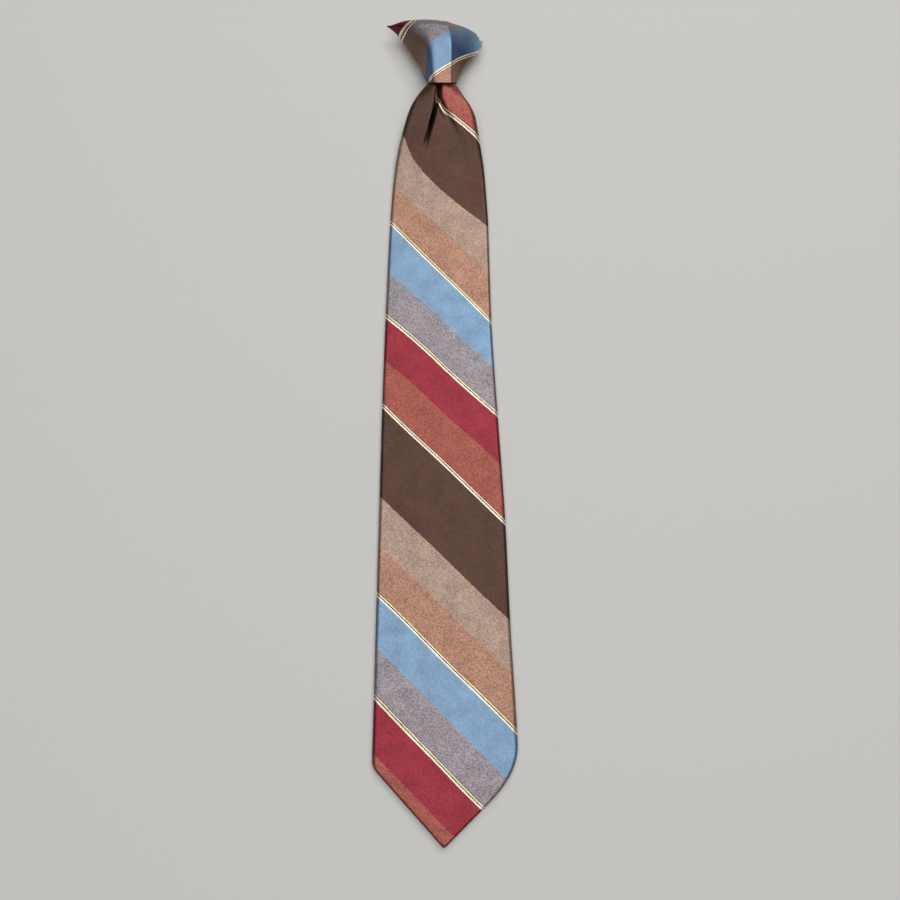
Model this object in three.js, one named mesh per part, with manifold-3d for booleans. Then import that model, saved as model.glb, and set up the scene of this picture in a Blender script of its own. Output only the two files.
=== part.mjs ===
// Clip-on necktie lying face up: a folded cloth blade, a ready-made knot and a plastic clip.
// Millimetres, +Z up, +Y along the tie from its point to its knot.
import * as THREE from "three";
import { mergeVertices } from "three/addons/utils/BufferGeometryUtils.js";
import Module from "manifold-3d";

const wasm = await Module();
wasm.setup();

// Blade
const bladeLength = 484; // from the point up to the knot's lower edge
const bladeWidth = 84; // across the two corners
const pointHeight = 44; // from the point up to the left corner
const pointHeightRight = 39.6; // and to where the right corner would be if it weren't rounded
const pointWidth = 1.4; // the blunt end of the point itself
const cornerRoundLeft = 3;
const cornerRoundRight = 17;
const bladeThickness = 4.6; // front, hollow and back together where it lies flat
const bladeWall = 1.2;
const seamGap = 0.5; // between the two edges of cloth at the back
const seamLap = 3; // how far the seam slants across the back wall
const cutOver = 0.4; // how far a cut runs past the wall that it opens
const neckDepth = 9.6; // gathered cloth inside the knot, back to front
const neckTuck = 14; // length of gathered cloth inside the knot
const shoulderLength = 10; // stretch over which the knot pinches the blade in

// Knot
const knotWidth = 71; // wing to wing
const knotHeight = 52.7; // at its axis
const knotMouth = 20.2; // width of its lower edge
const knotBulge = 6; // rise of its crown above its lower edge
const mouthRoundness = 0.8; // share of the lower edge's height that its round sides take
const knotWall = 1.2;
const windowBorder = 7; // cloth turned behind the clip on each side
const windowTop = 0.76; // where the border of cloth at the top starts, as a share of the height
const cornerCut = 6; // cloth missing at the right wing, where the clip's arm comes out
const cornerTurn = 28; // degrees that the line of that cut turns from the tie's own line

// Clip
const plateThickness = 2;
const tongueThickness = 2;
const tongueWidth = 16;
const tongueLength = 37;
const collarSlot = 4.8; // room for a shirt collar between tongue and knot
const bridgeLength = 4;
const armWidth = 2.4; // of the clip's right arm where it leaves the knot
const armHead = 5.4; // of its end just outside
const armReach = 3.4; // how far that end stands out

// Clearance between pieces that touch
const touchGap = 0.3;

// Heights above the surface that the tie lies on
const knotBack = tongueThickness + collarSlot;
const plateBottom = knotBack + knotWall + touchGap;
const plateTop = plateBottom + plateThickness;
const neckFloor = plateTop + touchGap;
const neckTop = neckFloor + neckDepth;
const mouthCrown = neckTop + touchGap + knotWall;
const mouthSide = (mouthCrown - knotBack) * mouthRoundness;
const tuckedSide = mouthSide - 2 * (neckFloor - knotBack);
const wingThickness = 2 * knotWall + 2 * touchGap + plateThickness;
const knotAxis = -0.026 * bladeWidth; // the knot's middle, left of the point
const pinchEnd = bladeLength - 3 * touchGap; // where the cloth is narrow enough for the knot

// Number of strips that the meshes are cut into
const arcSteps = 3;
const frontSteps = 18;

// Edges of the blade. up: share of bladeLength; left, right: shares of bladeWidth from the point's line.
const bladeEdges = [
  { up: 0.0, left: -0.499, right: 0.512 },
  { up: 0.094, left: -0.493, right: 0.508 },
  { up: 0.26, left: -0.486, right: 0.468 },
  { up: 0.381, left: -0.48, right: 0.446 },
  { up: 0.518, left: -0.474, right: 0.403 },
  { up: 0.658, left: -0.461, right: 0.362 },
  { up: 0.807, left: -0.437, right: 0.345 },
  { up: 0.85, left: -0.425, right: 0.332 },
  { up: 0.886, left: -0.407, right: 0.317 },
  { up: 0.915, left: -0.382, right: 0.294 },
  { up: 0.942, left: -0.343, right: 0.269 },
  { up: 0.961, left: -0.312, right: 0.248 },
  { up: 0.979, left: -0.27, right: 0.208 },
  { up: 1.0, left: -0.225, right: 0.175 },
];

// Form of the blade. lift: share of neckFloor; plump: share of the way from flat to neckDepth at
// the sides; dome: rise of the front's middle above them as a share of neckDepth.
const bladeForm = [
  { up: 0.0, lift: 0, plump: 0, dome: 0 },
  { up: 0.2, lift: 0, plump: 0, dome: 0.03 },
  { up: 0.807, lift: 0, plump: 0, dome: 0.04 },
  { up: 0.85, lift: 0, plump: 0.02, dome: 0.09 },
  { up: 0.886, lift: 0.05, plump: 0.1, dome: 0.2 },
  { up: 0.915, lift: 0.16, plump: 0.24, dome: 0.33 },
  { up: 0.942, lift: 0.34, plump: 0.42, dome: 0.38 },
  { up: 0.961, lift: 0.51, plump: 0.56, dome: 0.34 },
  { up: 0.979, lift: 0.72, plump: 0.68, dome: 0.27 },
  { up: 0.994, lift: 0.93, plump: 0.7, dome: 0.21 },
  { up: 1.0, lift: 1, plump: 0.6, dome: 0.3 },
];

// Folds that run down from the knot. up: share of bladeLength; at: place across, from -1 to 1;
// depth: share of neckDepth; reach: half width of the fold as a share of bladeWidth.
const leftFold = [
  { up: 0.9, at: -0.43, depth: 0, reach: 0.06 },
  { up: 0.924, at: -0.39, depth: 0.1, reach: 0.048 },
  { up: 0.939, at: -0.37, depth: 0.23, reach: 0.038 },
  { up: 0.958, at: -0.33, depth: 0.42, reach: 0.033 },
  { up: 0.977, at: -0.24, depth: 0.57, reach: 0.029 },
  { up: 0.99, at: -0.18, depth: 0.64, reach: 0.026 },
  { up: 1.0, at: -0.22, depth: 0.55, reach: 0.022 },
];
const rightFold = [
  { up: 0.83, at: 0.78, depth: 0, reach: 0.08 },
  { up: 0.876, at: 0.72, depth: 0.1, reach: 0.075 },
  { up: 0.902, at: 0.62, depth: 0.19, reach: 0.066 },
  { up: 0.928, at: 0.49, depth: 0.27, reach: 0.058 },
  { up: 0.95, at: 0.31, depth: 0.35, reach: 0.047 },
  { up: 0.971, at: 0.12, depth: 0.36, reach: 0.04 },
  { up: 0.989, at: 0.0, depth: 0.2, reach: 0.034 },
  { up: 1.0, at: -0.1, depth: 0, reach: 0.03 },
];

// Knot from its lower edge to its top. up: share of its height; left, right: shares of knotWidth from
// its axis; rise: share of knotBulge; fall: share of the way down from the lower edge's crown to the
// wings; side: thickness of the side edge, from the wings' at 0 to the mouth's at 1; sharp: how peaked
// the front is.
const knotSections = [
  { up: 0.0, left: -0.142, right: 0.142, rise: 0, fall: 0, side: 1, sharp: 0.6 },
  { up: 0.18, left: -0.182, right: 0.157, rise: 0.42, fall: 0, side: 0.88, sharp: 0.7 },
  { up: 0.37, left: -0.222, right: 0.2, rise: 0.79, fall: 0, side: 0.62, sharp: 0.85 },
  { up: 0.58, left: -0.326, right: 0.298, rise: 1, fall: 0, side: 0.36, sharp: 1.05 },
  { up: 0.8, left: -0.437, right: 0.39, rise: 0.93, fall: 0.03, side: 0.12, sharp: 1.35 },
  { up: 0.9, left: -0.485, right: 0.421, rise: 0.72, fall: 0.13, side: 0.04, sharp: 1.5 },
  { up: 0.95, left: -0.513, right: 0.438, rise: 0.5, fall: 0.3, side: 0.02, sharp: 1.6 },
  { up: 0.98, left: -0.534, right: 0.449, rise: 0.3, fall: 0.52, side: 0, sharp: 1.65 },
  { up: 1.0, left: -0.55, right: 0.454, rise: 0, fall: 0.95, side: 0, sharp: 1.7 },
];

// Top edge of the knot. across: place from its axis as a share of knotWidth; top: height above the
// lower edge as a share of knotHeight.
const knotTop = [
  { across: -0.55, top: 1.059 },
  { across: -0.501, top: 1.08 },
  { across: -0.451, top: 1.102 },
  { across: -0.403, top: 1.12 },
  { across: -0.352, top: 1.125 },
  { across: -0.275, top: 1.12 },
  { across: -0.206, top: 1.091 },
  { across: -0.085, top: 1.032 },
  { across: 0, top: 1 },
  { across: 0.085, top: 0.985 },
  { across: 0.225, top: 0.983 },
  { across: 0.296, top: 0.954 },
  { across: 0.352, top: 0.909 },
  { across: 0.454, top: 0.863 },
];

const mix = (a, b, share) => a + (b - a) * share;
const clamp = (value, least, most) => Math.min(Math.max(value, least), most);

// Smooth curve through one column of a table, at a place along its first one. It stays level past
// both ends and never overshoots.
function follow(table, column, place, along = "up") {
  const last = table.length - 1;
  if (place <= table[0][along]) return table[0][column];
  if (place >= table[last][along]) return table[last][column];
  const run = (n) => table[n + 1][along] - table[n][along];
  const rise = (n) => (table[n + 1][column] - table[n][column]) / run(n);
  const slope = (n) => {
    if (n === 0) return rise(0);
    if (n === last) return rise(last - 1);
    const product = rise(n - 1) * rise(n);
    return product <= 0 ? 0 : (2 * product) / (rise(n - 1) + rise(n));
  };
  const n = table.findLastIndex((row) => row[along] <= place);
  const t = (place - table[n][along]) / run(n);
  const bend = t * (1 - t) * run(n) * mix(slope(n), -slope(n + 1), t);
  return mix(table[n][column], table[n + 1][column], t * t * (3 - 2 * t)) + bend;
}

// The lower of two values, with the corner between them rounded over the given width.
function roundedMin(a, b, width) {
  const share = clamp(0.5 + (b - a) / (2 * width), 0, 1);
  return mix(b, a, share) - width * share * (1 - share);
}

// Closed body through loops of points. Each loop starts at its left end and has its right end
// halfway, and points with the same distance from the start lie over each other.
function loft(loops) {
  const count = loops[0].length;
  const triangles = [];
  const quad = (a, b, c, d) => triangles.push(a, b, c, a, c, d);
  for (let row = 0; row < loops.length - 1; row++) {
    for (let i = 0; i < count; i++) {
      const next = (i + 1) % count;
      quad(
        row * count + i,
        row * count + next,
        (row + 1) * count + next,
        (row + 1) * count + i,
      );
    }
  }
  const cap = (first, flipped) => {
    for (let i = 0; i < count / 2; i++) {
      const corners = [i, i + 1, count - i - 1, (count - i) % count];
      const unlike = corners.filter((c, n) => corners.indexOf(c) === n);
      const ring = unlike.map((c) => first + c);
      if (flipped) ring.reverse();
      for (let n = 1; n < ring.length - 1; n++) {
        triangles.push(ring[0], ring[n + 1], ring[n]);
      }
    }
  };
  cap(0, false);
  cap((loops.length - 1) * count, true);
  const body = new wasm.Manifold(
    new wasm.Mesh({
      numProp: 3,
      vertProperties: new Float32Array(loops.flat(2)),
      triVerts: new Uint32Array(triangles),
    }),
  );
  return body;
}

// Solid of a three.js geometry.
function solidOf(geometry) {
  const plain = geometry.clone();
  plain.deleteAttribute("normal");
  plain.deleteAttribute("uv");
  const merged = mergeVertices(plain, 1e-4);
  return new wasm.Manifold(
    new wasm.Mesh({
      numProp: 3,
      vertProperties: new Float32Array(merged.attributes.position.array),
      triVerts: new Uint32Array(merged.index.array),
    }),
  );
}

// Named three.js mesh of a solid.
function meshOf(name, solid, look) {
  const made = solid.getMesh();
  const places = new Float32Array(made.numVert * 3);
  for (let i = 0; i < made.numVert; i++) {
    const first = i * made.numProp;
    places.set(made.vertProperties.subarray(first, first + 3), i * 3);
  }
  const geometry = new THREE.BufferGeometry();
  geometry.setAttribute("position", new THREE.BufferAttribute(places, 3));
  geometry.setIndex(new THREE.BufferAttribute(new Uint32Array(made.triVerts), 1));
  geometry.computeVertexNormals();
  const mesh = new THREE.Mesh(geometry, new THREE.MeshStandardMaterial(look));
  mesh.name = name;
  return mesh;
}

// Flat outline pushed up from one height to another.
function slab(points, bottom, top) {
  const shape = new THREE.Shape(points.map(([x, y]) => new THREE.Vector2(x, y)));
  const settings = { depth: top - bottom, bevelEnabled: false };
  const geometry = new THREE.ExtrudeGeometry(shape, settings);
  geometry.translate(0, 0, bottom);
  return solidOf(geometry);
}

// Loop around a flattened tube: half-round sides, and a front and a back between them. frontAt gives
// the front's height at a place across, from 0 at the left side to 1 at the right one.
function flatLoop(left, right, y, bottom, side, frontAt) {
  const radius = Math.min(side / 2, (right - left) * 0.45);
  const middle = bottom + side / 2;
  const top = [];
  const under = [];
  const place = (x, share, above, below) => {
    top.push([x, y(x), above]);
    under.push([x, y(x), below]);
  };
  for (let i = 1; i <= arcSteps; i++) {
    const angle = (i / arcSteps) * (Math.PI / 2);
    const rise = (Math.sin(angle) * side) / 2;
    const x = left + radius * (1 - Math.cos(angle));
    place(x, 0, middle + rise, middle - rise);
  }
  for (let i = 1; i < frontSteps; i++) {
    const share = i / frontSteps;
    const x = mix(left + radius, right - radius, share);
    place(x, share, frontAt(x, share), bottom);
  }
  for (let i = arcSteps; i >= 1; i--) {
    const angle = (i / arcSteps) * (Math.PI / 2);
    const rise = (Math.sin(angle) * side) / 2;
    const x = right - radius * (1 - Math.cos(angle));
    place(x, 1, middle + rise, middle - rise);
  }
  const leftEnd = [left, y(left), middle];
  const rightEnd = [right, y(right), middle];
  return [leftEnd, ...top, rightEnd, ...under.reverse()];
}

// How far the knot has pinched the blade in at a distance from its point, from 0 to 1.
function pinchAt(distance) {
  const toMouth = (pinchEnd - distance) / shoulderLength;
  return clamp(1 - toMouth, 0, 1) ** 3;
}

// Left and right edge of the blade at a distance from its point.
function bladeSides(distance) {
  const up = distance / bladeLength;
  const slantedTo = (height) => pointWidth / 2 + (distance / height) * (bladeWidth / 2);
  const edge = (side) => Math.abs(follow(bladeEdges, side, up)) * bladeWidth;
  const left = roundedMin(slantedTo(pointHeight), edge("left"), cornerRoundLeft);
  const right = roundedMin(slantedTo(pointHeightRight), edge("right"), cornerRoundRight);
  const tucked = knotMouth / 2 - knotWall - touchGap;
  const pinch = pinchAt(distance);
  return {
    left: mix(-left, knotAxis - tucked, pinch),
    right: mix(right, knotAxis + tucked, pinch),
  };
}

// Depth of one fold at a distance from the blade's point and a place across from -1 to 1.
function foldDepth(fold, up, across, half) {
  const reach = follow(fold, "reach", up) * bladeWidth;
  const away = ((across - follow(fold, "at", up)) * half) / reach;
  return follow(fold, "depth", up) * neckDepth * Math.exp(-away * away);
}

// Height of the blade's front above its own side edges. share: from 0 to 1 between them.
function bladeFront(distance, share) {
  const up = distance / bladeLength;
  const { left, right } = bladeSides(distance);
  const across = 2 * share - 1;
  const pinch = pinchAt(distance);
  const tuckedDome = neckDepth - tuckedSide;
  const dome = mix(follow(bladeForm, "dome", up) * neckDepth, tuckedDome, pinch);
  const half = (right - left) / 2;
  const folds = foldDepth(leftFold, up, across, half) + foldDepth(rightFold, up, across, half);
  return dome * (1 - across * across) - folds * (1 - across ** 4);
}

// Loop around the blade, or around its hollow when wall isn't 0.
function bladeLoop(distance, wall) {
  const up = distance / bladeLength;
  const step = 0.5;
  const here = bladeSides(distance);
  const ahead = bladeSides(distance + step);
  const inset = (side) => wall * Math.hypot(1, (ahead[side] - here[side]) / step);
  const left = here.left + inset("left");
  const right = here.right - inset("right");
  const bottom = follow(bladeForm, "lift", up) * neckFloor + wall;
  const freeSide = mix(bladeThickness, neckDepth, follow(bladeForm, "plump", up));
  const side = mix(freeSide, tuckedSide, pinchAt(distance)) - 2 * wall;
  const width = right - left;
  const frontAt = (x, share) => {
    const rise = bladeFront(distance, share);
    const slopeX = (bladeFront(distance, share + step / width) - rise) / step;
    const slopeY = (bladeFront(distance + step, share) - rise) / step;
    const extra = wall * (Math.hypot(1, slopeX, slopeY) - 1);
    const roof = distance < pinchEnd - touchGap ? Infinity : mouthRoof(x) - 1.5 * touchGap - wall;
    return clamp(bottom + side + rise - extra, bottom + seamGap, roof);
  };
  return flatLoop(left, right, () => distance, bottom, side, frontAt);
}

// Distances from the point at which the blade is cut into sections.
function bladeStations(start, end) {
  const point = [0, 0.12, 0.3, 0.5, 0.7, 0.84, 0.94, 1.02, 1.1, 1.22].map((share) => share * pointHeight);
  const flat = [0.2, 0.34, 0.48, 0.62, 0.74, 0.81, 0.845];
  const neck = [0.87, 0.889, 0.905, 0.919, 0.931, 0.943, 0.954, 0.964, 0.973];
  const straight = [...flat, ...neck].map((share) => share * bladeLength);
  const shoulder = [0.88, 0.62, 0.4, 0.24, 0.12, 0.05, 0].map((share) => pinchEnd - share * shoulderLength);
  const inner = [...point, ...straight, ...shoulder].filter((y) => y > start + 1 && y < end - 1);
  return [start, ...inner, end];
}

// Slanted cut through the back wall, where one edge of the cloth laps the other.
function seamCut() {
  const start = pointHeight / 3;
  const loops = bladeStations(start, bladeLength + neckTuck + 2).map((y) => {
    const { left, right } = bladeSides(y);
    const middle = (left + right) / 2;
    const bottom = follow(bladeForm, "lift", y / bladeLength) * neckFloor;
    const low = bottom - cutOver;
    const high = bottom + bladeWall + cutOver;
    return [
      [middle - seamLap / 2, y, high],
      [middle - seamLap / 2 + seamGap, y, high],
      [middle + seamLap / 2 + seamGap, y, low],
      [middle + seamLap / 2, y, low],
    ];
  });
  return loft(loops);
}

function makeBlade() {
  const end = bladeLength + neckTuck;
  const outside = loft(bladeStations(0, end).map((y) => bladeLoop(y, 0)));
  const hollowStart = 2.4 * bladeWall;
  const hollow = loft(bladeStations(hollowStart, end + 1).map((y) => bladeLoop(y, bladeWall)));
  return outside.subtract(hollow).subtract(seamCut());
}

// Place in plan of a point of the knot. up: share of its height; across: from -1 to 1.
function knotPlan(up, across) {
  const left = follow(knotSections, "left", up) * knotWidth;
  const right = follow(knotSections, "right", up) * knotWidth;
  const x = mix(left, right, (across + 1) / 2);
  return [knotAxis + x, bladeLength + knotUp(up, x)];
}

// Distance from the knot's lower edge at a place x from its axis. The rows take up the shape of the
// top edge bit by bit.
function knotUp(up, x) {
  return up * knotHeight * follow(knotTop, "top", x / knotWidth, "across");
}

// Height of the knot's front at one of its rows, above the top of its side edges. share: from 0 to 1
// between them.
function knotRise(up, share) {
  const column = (name) => follow(knotSections, name, up);
  const wingTop = knotBack + wingThickness;
  const drop = column("fall") * (mouthCrown - wingTop);
  const crown = mouthCrown + column("rise") * knotBulge - drop;
  const side = mix(wingThickness, mouthSide, column("side"));
  const across = 2 * share - 1;
  return Math.max(crown - knotBack - side, 0) * (1 - across * across) ** column("sharp");
}

// Loop around the knot, or around its hollow when wall isn't 0.
function knotLoop(up, wall) {
  const left = knotAxis + follow(knotSections, "left", up) * knotWidth + wall;
  const right = knotAxis + follow(knotSections, "right", up) * knotWidth - wall;
  const side = mix(wingThickness, mouthSide, follow(knotSections, "side", up)) - 2 * wall;
  const bottom = knotBack + wall;
  const width = right - left;
  const step = 0.5;
  const frontAt = (x, share) => {
    const rise = knotRise(up, share);
    const beside = knotRise(up, mix(share, 0.5, step / width));
    const extra = wall * (Math.hypot(1, (beside - rise) / (step / 2)) - 1);
    return bottom + side + Math.max(rise - Math.min(extra, wall), 0);
  };
  const y = (x) => bladeLength + knotUp(up, x - knotAxis);
  return flatLoop(left, right, y, bottom, side, frontAt);
}

// Height of the knot's inner face over the gathered cloth, at a place across its lower edge.
function mouthRoof(x) {
  const half = knotMouth / 2 - knotWall;
  const radius = mouthSide / 2 - knotWall;
  const away = Math.abs(x - knotAxis);
  const past = Math.min(Math.max(away - (half - radius), 0), radius);
  const round = knotBack + mouthSide / 2 + Math.sqrt(radius * radius - past * past);
  const share = clamp(0.5 + away / (2 * (half - radius)), 0, 1);
  return round + (past > 0 ? 0 : knotRise(0, share));
}

// Opening behind the knot, between the borders of cloth that are turned behind the clip.
function windowCut() {
  const top = windowTop;
  const rows = [-0.04, 0.2, 0.4, 0.6, top];
  const point = (up, sign) => {
    const [x, y] = knotPlan(Math.max(up, 0), sign);
    return [x - sign * windowBorder, up < 0 ? bladeLength - windowBorder : y];
  };
  const left = rows.map((up) => point(up, -1));
  const right = rows.map((up) => point(up, 1)).reverse();
  return slab([...left, ...right], knotBack - cutOver, knotBack + knotWall + cutOver);
}

// Point near the line where the cloth ends at the right wing. along: up that line from its middle;
// out: away from the knot.
function cornerPoint(along, out) {
  const [x, y] = knotPlan(1, 1);
  const turn = THREE.MathUtils.degToRad(cornerTurn);
  const outward = new THREE.Vector2(Math.cos(turn), Math.sin(turn));
  const place = new THREE.Vector2(x, y).addScaledVector(outward, out - cornerCut);
  const upward = new THREE.Vector2(-outward.y, outward.x);
  return place.addScaledVector(upward, along - cornerCut / 6).toArray();
}

// Everything past that line.
function cornerCutter() {
  const size = knotHeight;
  const outline = [
    cornerPoint(-size, 0),
    cornerPoint(-size, size),
    cornerPoint(size, size),
    cornerPoint(size, 0),
  ];
  return slab(outline, knotBack - cutOver, mouthCrown + knotBulge + cutOver);
}

function makeKnot() {
  const rows = [0, 0.09, 0.18, 0.28, 0.38, 0.48, 0.58, 0.68, 0.77, 0.84, 0.9, 0.95, 0.98, 1];
  const outside = loft(rows.map((up) => knotLoop(up, 0)));
  const innerTop = 1 - (1.2 * knotWall) / knotHeight;
  const innerRows = [-0.04, ...rows.slice(0, -1).map((up) => up * innerTop), innerTop];
  const hollow = loft(innerRows.map((up) => knotLoop(up, knotWall)));
  return outside.subtract(hollow).subtract(windowCut()).subtract(cornerCutter());
}

// Plate of the clip inside the knot: a narrow body below two arms that end in the wings. The left
// arm ends inside the cloth, and the right arm's head stands out of it.
function clipPlate() {
  const neck = armWidth / 2;
  const head = armHead / 2;
  const outline = [
    knotPlan(0.12, -0.4),
    knotPlan(0.12, 0.4),
    knotPlan(0.45, 0.4),
    knotPlan(0.62, 0.5),
    cornerPoint(-neck, -cornerCut * 0.6),
    cornerPoint(0.7 - neck, -1),
    cornerPoint(0.7 - neck, touchGap),
    cornerPoint(-head, touchGap),
    cornerPoint(-head * 0.6, armReach * 0.72),
    cornerPoint(-head * 0.1, armReach),
    cornerPoint(head * 0.3, armReach * 0.76),
    cornerPoint(head, touchGap),
    cornerPoint(neck, touchGap),
    cornerPoint(neck, -cornerCut * 0.8),
    knotPlan(0.9, 0.2),
    knotPlan(0.9, -0.3),
    knotPlan(0.92, -0.78),
    knotPlan(0.9, -0.86),
    knotPlan(0.86, -0.84),
    knotPlan(0.62, -0.5),
    knotPlan(0.45, -0.4),
  ];
  return slab(outline, plateBottom, plateTop);
}

// Tongue that goes behind the collar, and the bridge that joins it to the plate.
function clipTongue() {
  const [leftX, leftY] = knotPlan(windowTop, -1);
  const [rightX, rightY] = knotPlan(windowTop, 1);
  const middle = (leftX + rightX) / 2;
  const half = tongueWidth / 2;
  const windowWidth = rightX - leftX - 2 * windowBorder;
  const windowEdge = mix(leftY, rightY, 0.5 + half / windowWidth);
  const start = windowEdge - touchGap;
  const end = start - tongueLength;
  const outline = [
    [middle - half, start],
    [middle - half, end + half * 0.7],
    [middle - half * 0.55, end],
    [middle + half * 0.55, end],
    [middle + half, end + half * 0.7],
    [middle + half, start],
  ];
  const foot = [
    [middle - half, start - bridgeLength],
    [middle + half, start - bridgeLength],
    [middle + half, start],
    [middle - half, start],
  ];
  return slab(outline, 0, tongueThickness).add(slab(foot, 0, plateTop));
}

const cloth = { color: 0x9c6f5c, roughness: 0.55, metalness: 0 };
const knotCloth = { color: 0x7ea3c2, roughness: 0.5, metalness: 0 };
const plastic = { color: 0xe4e8ea, roughness: 0.35, metalness: 0 };

const tie = new THREE.Group();
tie.add(meshOf("blade", makeBlade(), cloth));
tie.add(meshOf("knot", makeKnot(), knotCloth));
tie.add(meshOf("clip", clipPlate().add(clipTongue()), plastic));

// The origin is the middle of the tie's footprint, on the surface that it lies on.
const box = new THREE.Box3().setFromObject(tie);
tie.position.set(-(box.min.x + box.max.x) / 2, -(box.min.y + box.max.y) / 2, -box.min.z);

export default tie;
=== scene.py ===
# Clip-on necktie lying face up: satin-faced striped blade, ready-made knot and white plastic clip.
import math

import bpy
import bmesh
import numpy as np
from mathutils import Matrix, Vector


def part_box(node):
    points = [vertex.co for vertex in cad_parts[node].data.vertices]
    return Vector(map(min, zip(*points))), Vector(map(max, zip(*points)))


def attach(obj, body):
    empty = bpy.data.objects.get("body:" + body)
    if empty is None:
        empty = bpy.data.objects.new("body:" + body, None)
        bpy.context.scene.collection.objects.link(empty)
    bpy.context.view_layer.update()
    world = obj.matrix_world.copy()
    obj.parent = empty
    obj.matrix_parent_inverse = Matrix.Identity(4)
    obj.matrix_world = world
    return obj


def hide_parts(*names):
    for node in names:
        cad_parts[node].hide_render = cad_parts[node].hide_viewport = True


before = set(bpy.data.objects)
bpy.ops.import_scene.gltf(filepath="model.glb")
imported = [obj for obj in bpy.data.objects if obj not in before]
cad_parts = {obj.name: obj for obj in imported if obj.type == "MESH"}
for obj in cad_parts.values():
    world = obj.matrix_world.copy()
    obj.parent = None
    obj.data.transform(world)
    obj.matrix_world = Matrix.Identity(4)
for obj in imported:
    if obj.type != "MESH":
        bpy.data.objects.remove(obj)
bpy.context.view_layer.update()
print("frame loaded:", sorted(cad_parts))

# Camera at the photograph's angle: 15 degrees off straight down, from the point's side of the tie.
view = {
    "place": (0.00286, -0.18679, 0.54768),  # metres
    "tilt": 15.0,  # degrees
    "lens": 36.0,  # mm
    "sensor": 36.0,  # mm
}
camera = bpy.data.objects.new("camera", bpy.data.cameras.new("camera"))
camera.data.lens = view["lens"]
camera.data.sensor_width = view["sensor"]
camera.location = view["place"]
camera.rotation_euler = (math.radians(view["tilt"]), 0.0, 0.0)
bpy.context.scene.collection.objects.link(camera)
bpy.context.scene.camera = camera
print("camera placed")


# Linear colour of an sRGB hex value: each channel c becomes ((c + 0.055) / 1.055) to the power 2.4.
def toLinear(hexColour):
    channels = [int(hexColour[i : i + 2], 16) / 255 for i in (1, 3, 5)]
    return tuple(c / 12.92 if c <= 0.04045 else ((c + 0.055) / 1.055) ** 2.4 for c in channels) + (1.0,)


# Adds one node. Settings are its attributes, inputs are values or other nodes' outputs.
def addNode(tree, kind, settings=None, inputs=None):
    node = tree.nodes.new(kind)
    for name, value in (settings or {}).items():
        setattr(node, name, value)
    for socket, value in (inputs or {}).items():
        if isinstance(value, bpy.types.NodeSocket):
            tree.links.new(value, node.inputs[socket])
        else:
            node.inputs[socket].default_value = value
    return node


# Between a and b by a share.
def mix(a, b, share):
    return a + (b - a) * share


# Curve through one column of a table, at shares of the height or places across: a cubic between two
# rows, whose slope at each row is the harmonic mean of the rises beside it. It never overshoots, and
# past both ends it is level.
def follow(table, column, up):
    at = np.array(table.get("up", table.get("across")))
    value = np.array(table[column])
    rise = np.diff(value) / np.diff(at)
    product = rise[:-1] * rise[1:]
    total = np.where(product > 0, rise[:-1] + rise[1:], 1.0)
    inner = np.where(product > 0, 2 * product / total, 0.0)
    slope = np.concatenate([rise[:1], inner, rise[-1:]])
    place = np.clip(up, at[0], at[-1])
    n = np.clip(np.searchsorted(at, place, side="right") - 1, 0, len(at) - 2)
    span = at[n + 1] - at[n]
    t = (place - at[n]) / span
    bend = t * (1 - t) * span * mix(slope[n], -slope[n + 1], t)
    return mix(value[n], value[n + 1], t * t * (3 - 2 * t)) + bend


# The lower of a and b, with the corner between them rounded over a width.
def roundedMin(a, b, width):
    share = np.clip(0.5 + (b - a) / (2 * width), 0, 1)
    return mix(b, a, share) - width * share * (1 - share)


# Distance along a polyline of points, summed down the chosen axis of the grid and 0 at its start.
def alongGrid(points, axis):
    step = np.linalg.norm(np.diff(points, axis=axis), axis=2)
    total = np.cumsum(step, axis=axis)
    start = np.zeros_like(np.take(total, [0], axis=axis))
    return np.concatenate([start, total], axis=axis)


# Mesh piece of a grid of points in metres: one quad between each four neighbours, facing outwards,
# with a cloth map whose two values are metres along the stripes and across them.
def sheetPiece(name, points, cloth):
    rows, columns = points.shape[:2]
    index = np.arange(rows * columns).reshape(rows, columns)
    corners = [index[:-1, :-1], index[:-1, 1:], index[1:, 1:], index[1:, :-1]]
    quads = np.stack(corners, axis=2).reshape(-1, 4)
    mesh = bpy.data.meshes.new(name)
    mesh.vertices.add(rows * columns)
    mesh.vertices.foreach_set("co", points.reshape(-1).astype(np.float32))
    mesh.loops.add(quads.size)
    mesh.loops.foreach_set("vertex_index", quads.reshape(-1).astype(np.int32))
    mesh.polygons.add(len(quads))
    mesh.polygons.foreach_set("loop_start", np.arange(0, quads.size, 4, dtype=np.int32))
    mesh.polygons.foreach_set("use_smooth", np.ones(len(quads), dtype=bool))
    mesh.update(calc_edges=True)
    clothMap = mesh.uv_layers.new(name="cloth")
    loopPlaces = cloth.reshape(-1, 2)[quads.reshape(-1)]
    clothMap.data.foreach_set("uv", loopPlaces.reshape(-1).astype(np.float32))
    mesh.validate()
    piece = bpy.data.objects.new(name, mesh)
    bpy.context.scene.collection.objects.link(piece)
    return piece


# Thickens a sheet inwards.
def giveWall(piece, thickness):
    wall = piece.modifiers.new("wall", "SOLIDIFY")
    wall.thickness = thickness
    wall.offset = -1.0
    wall.use_even_offset = False


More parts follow.
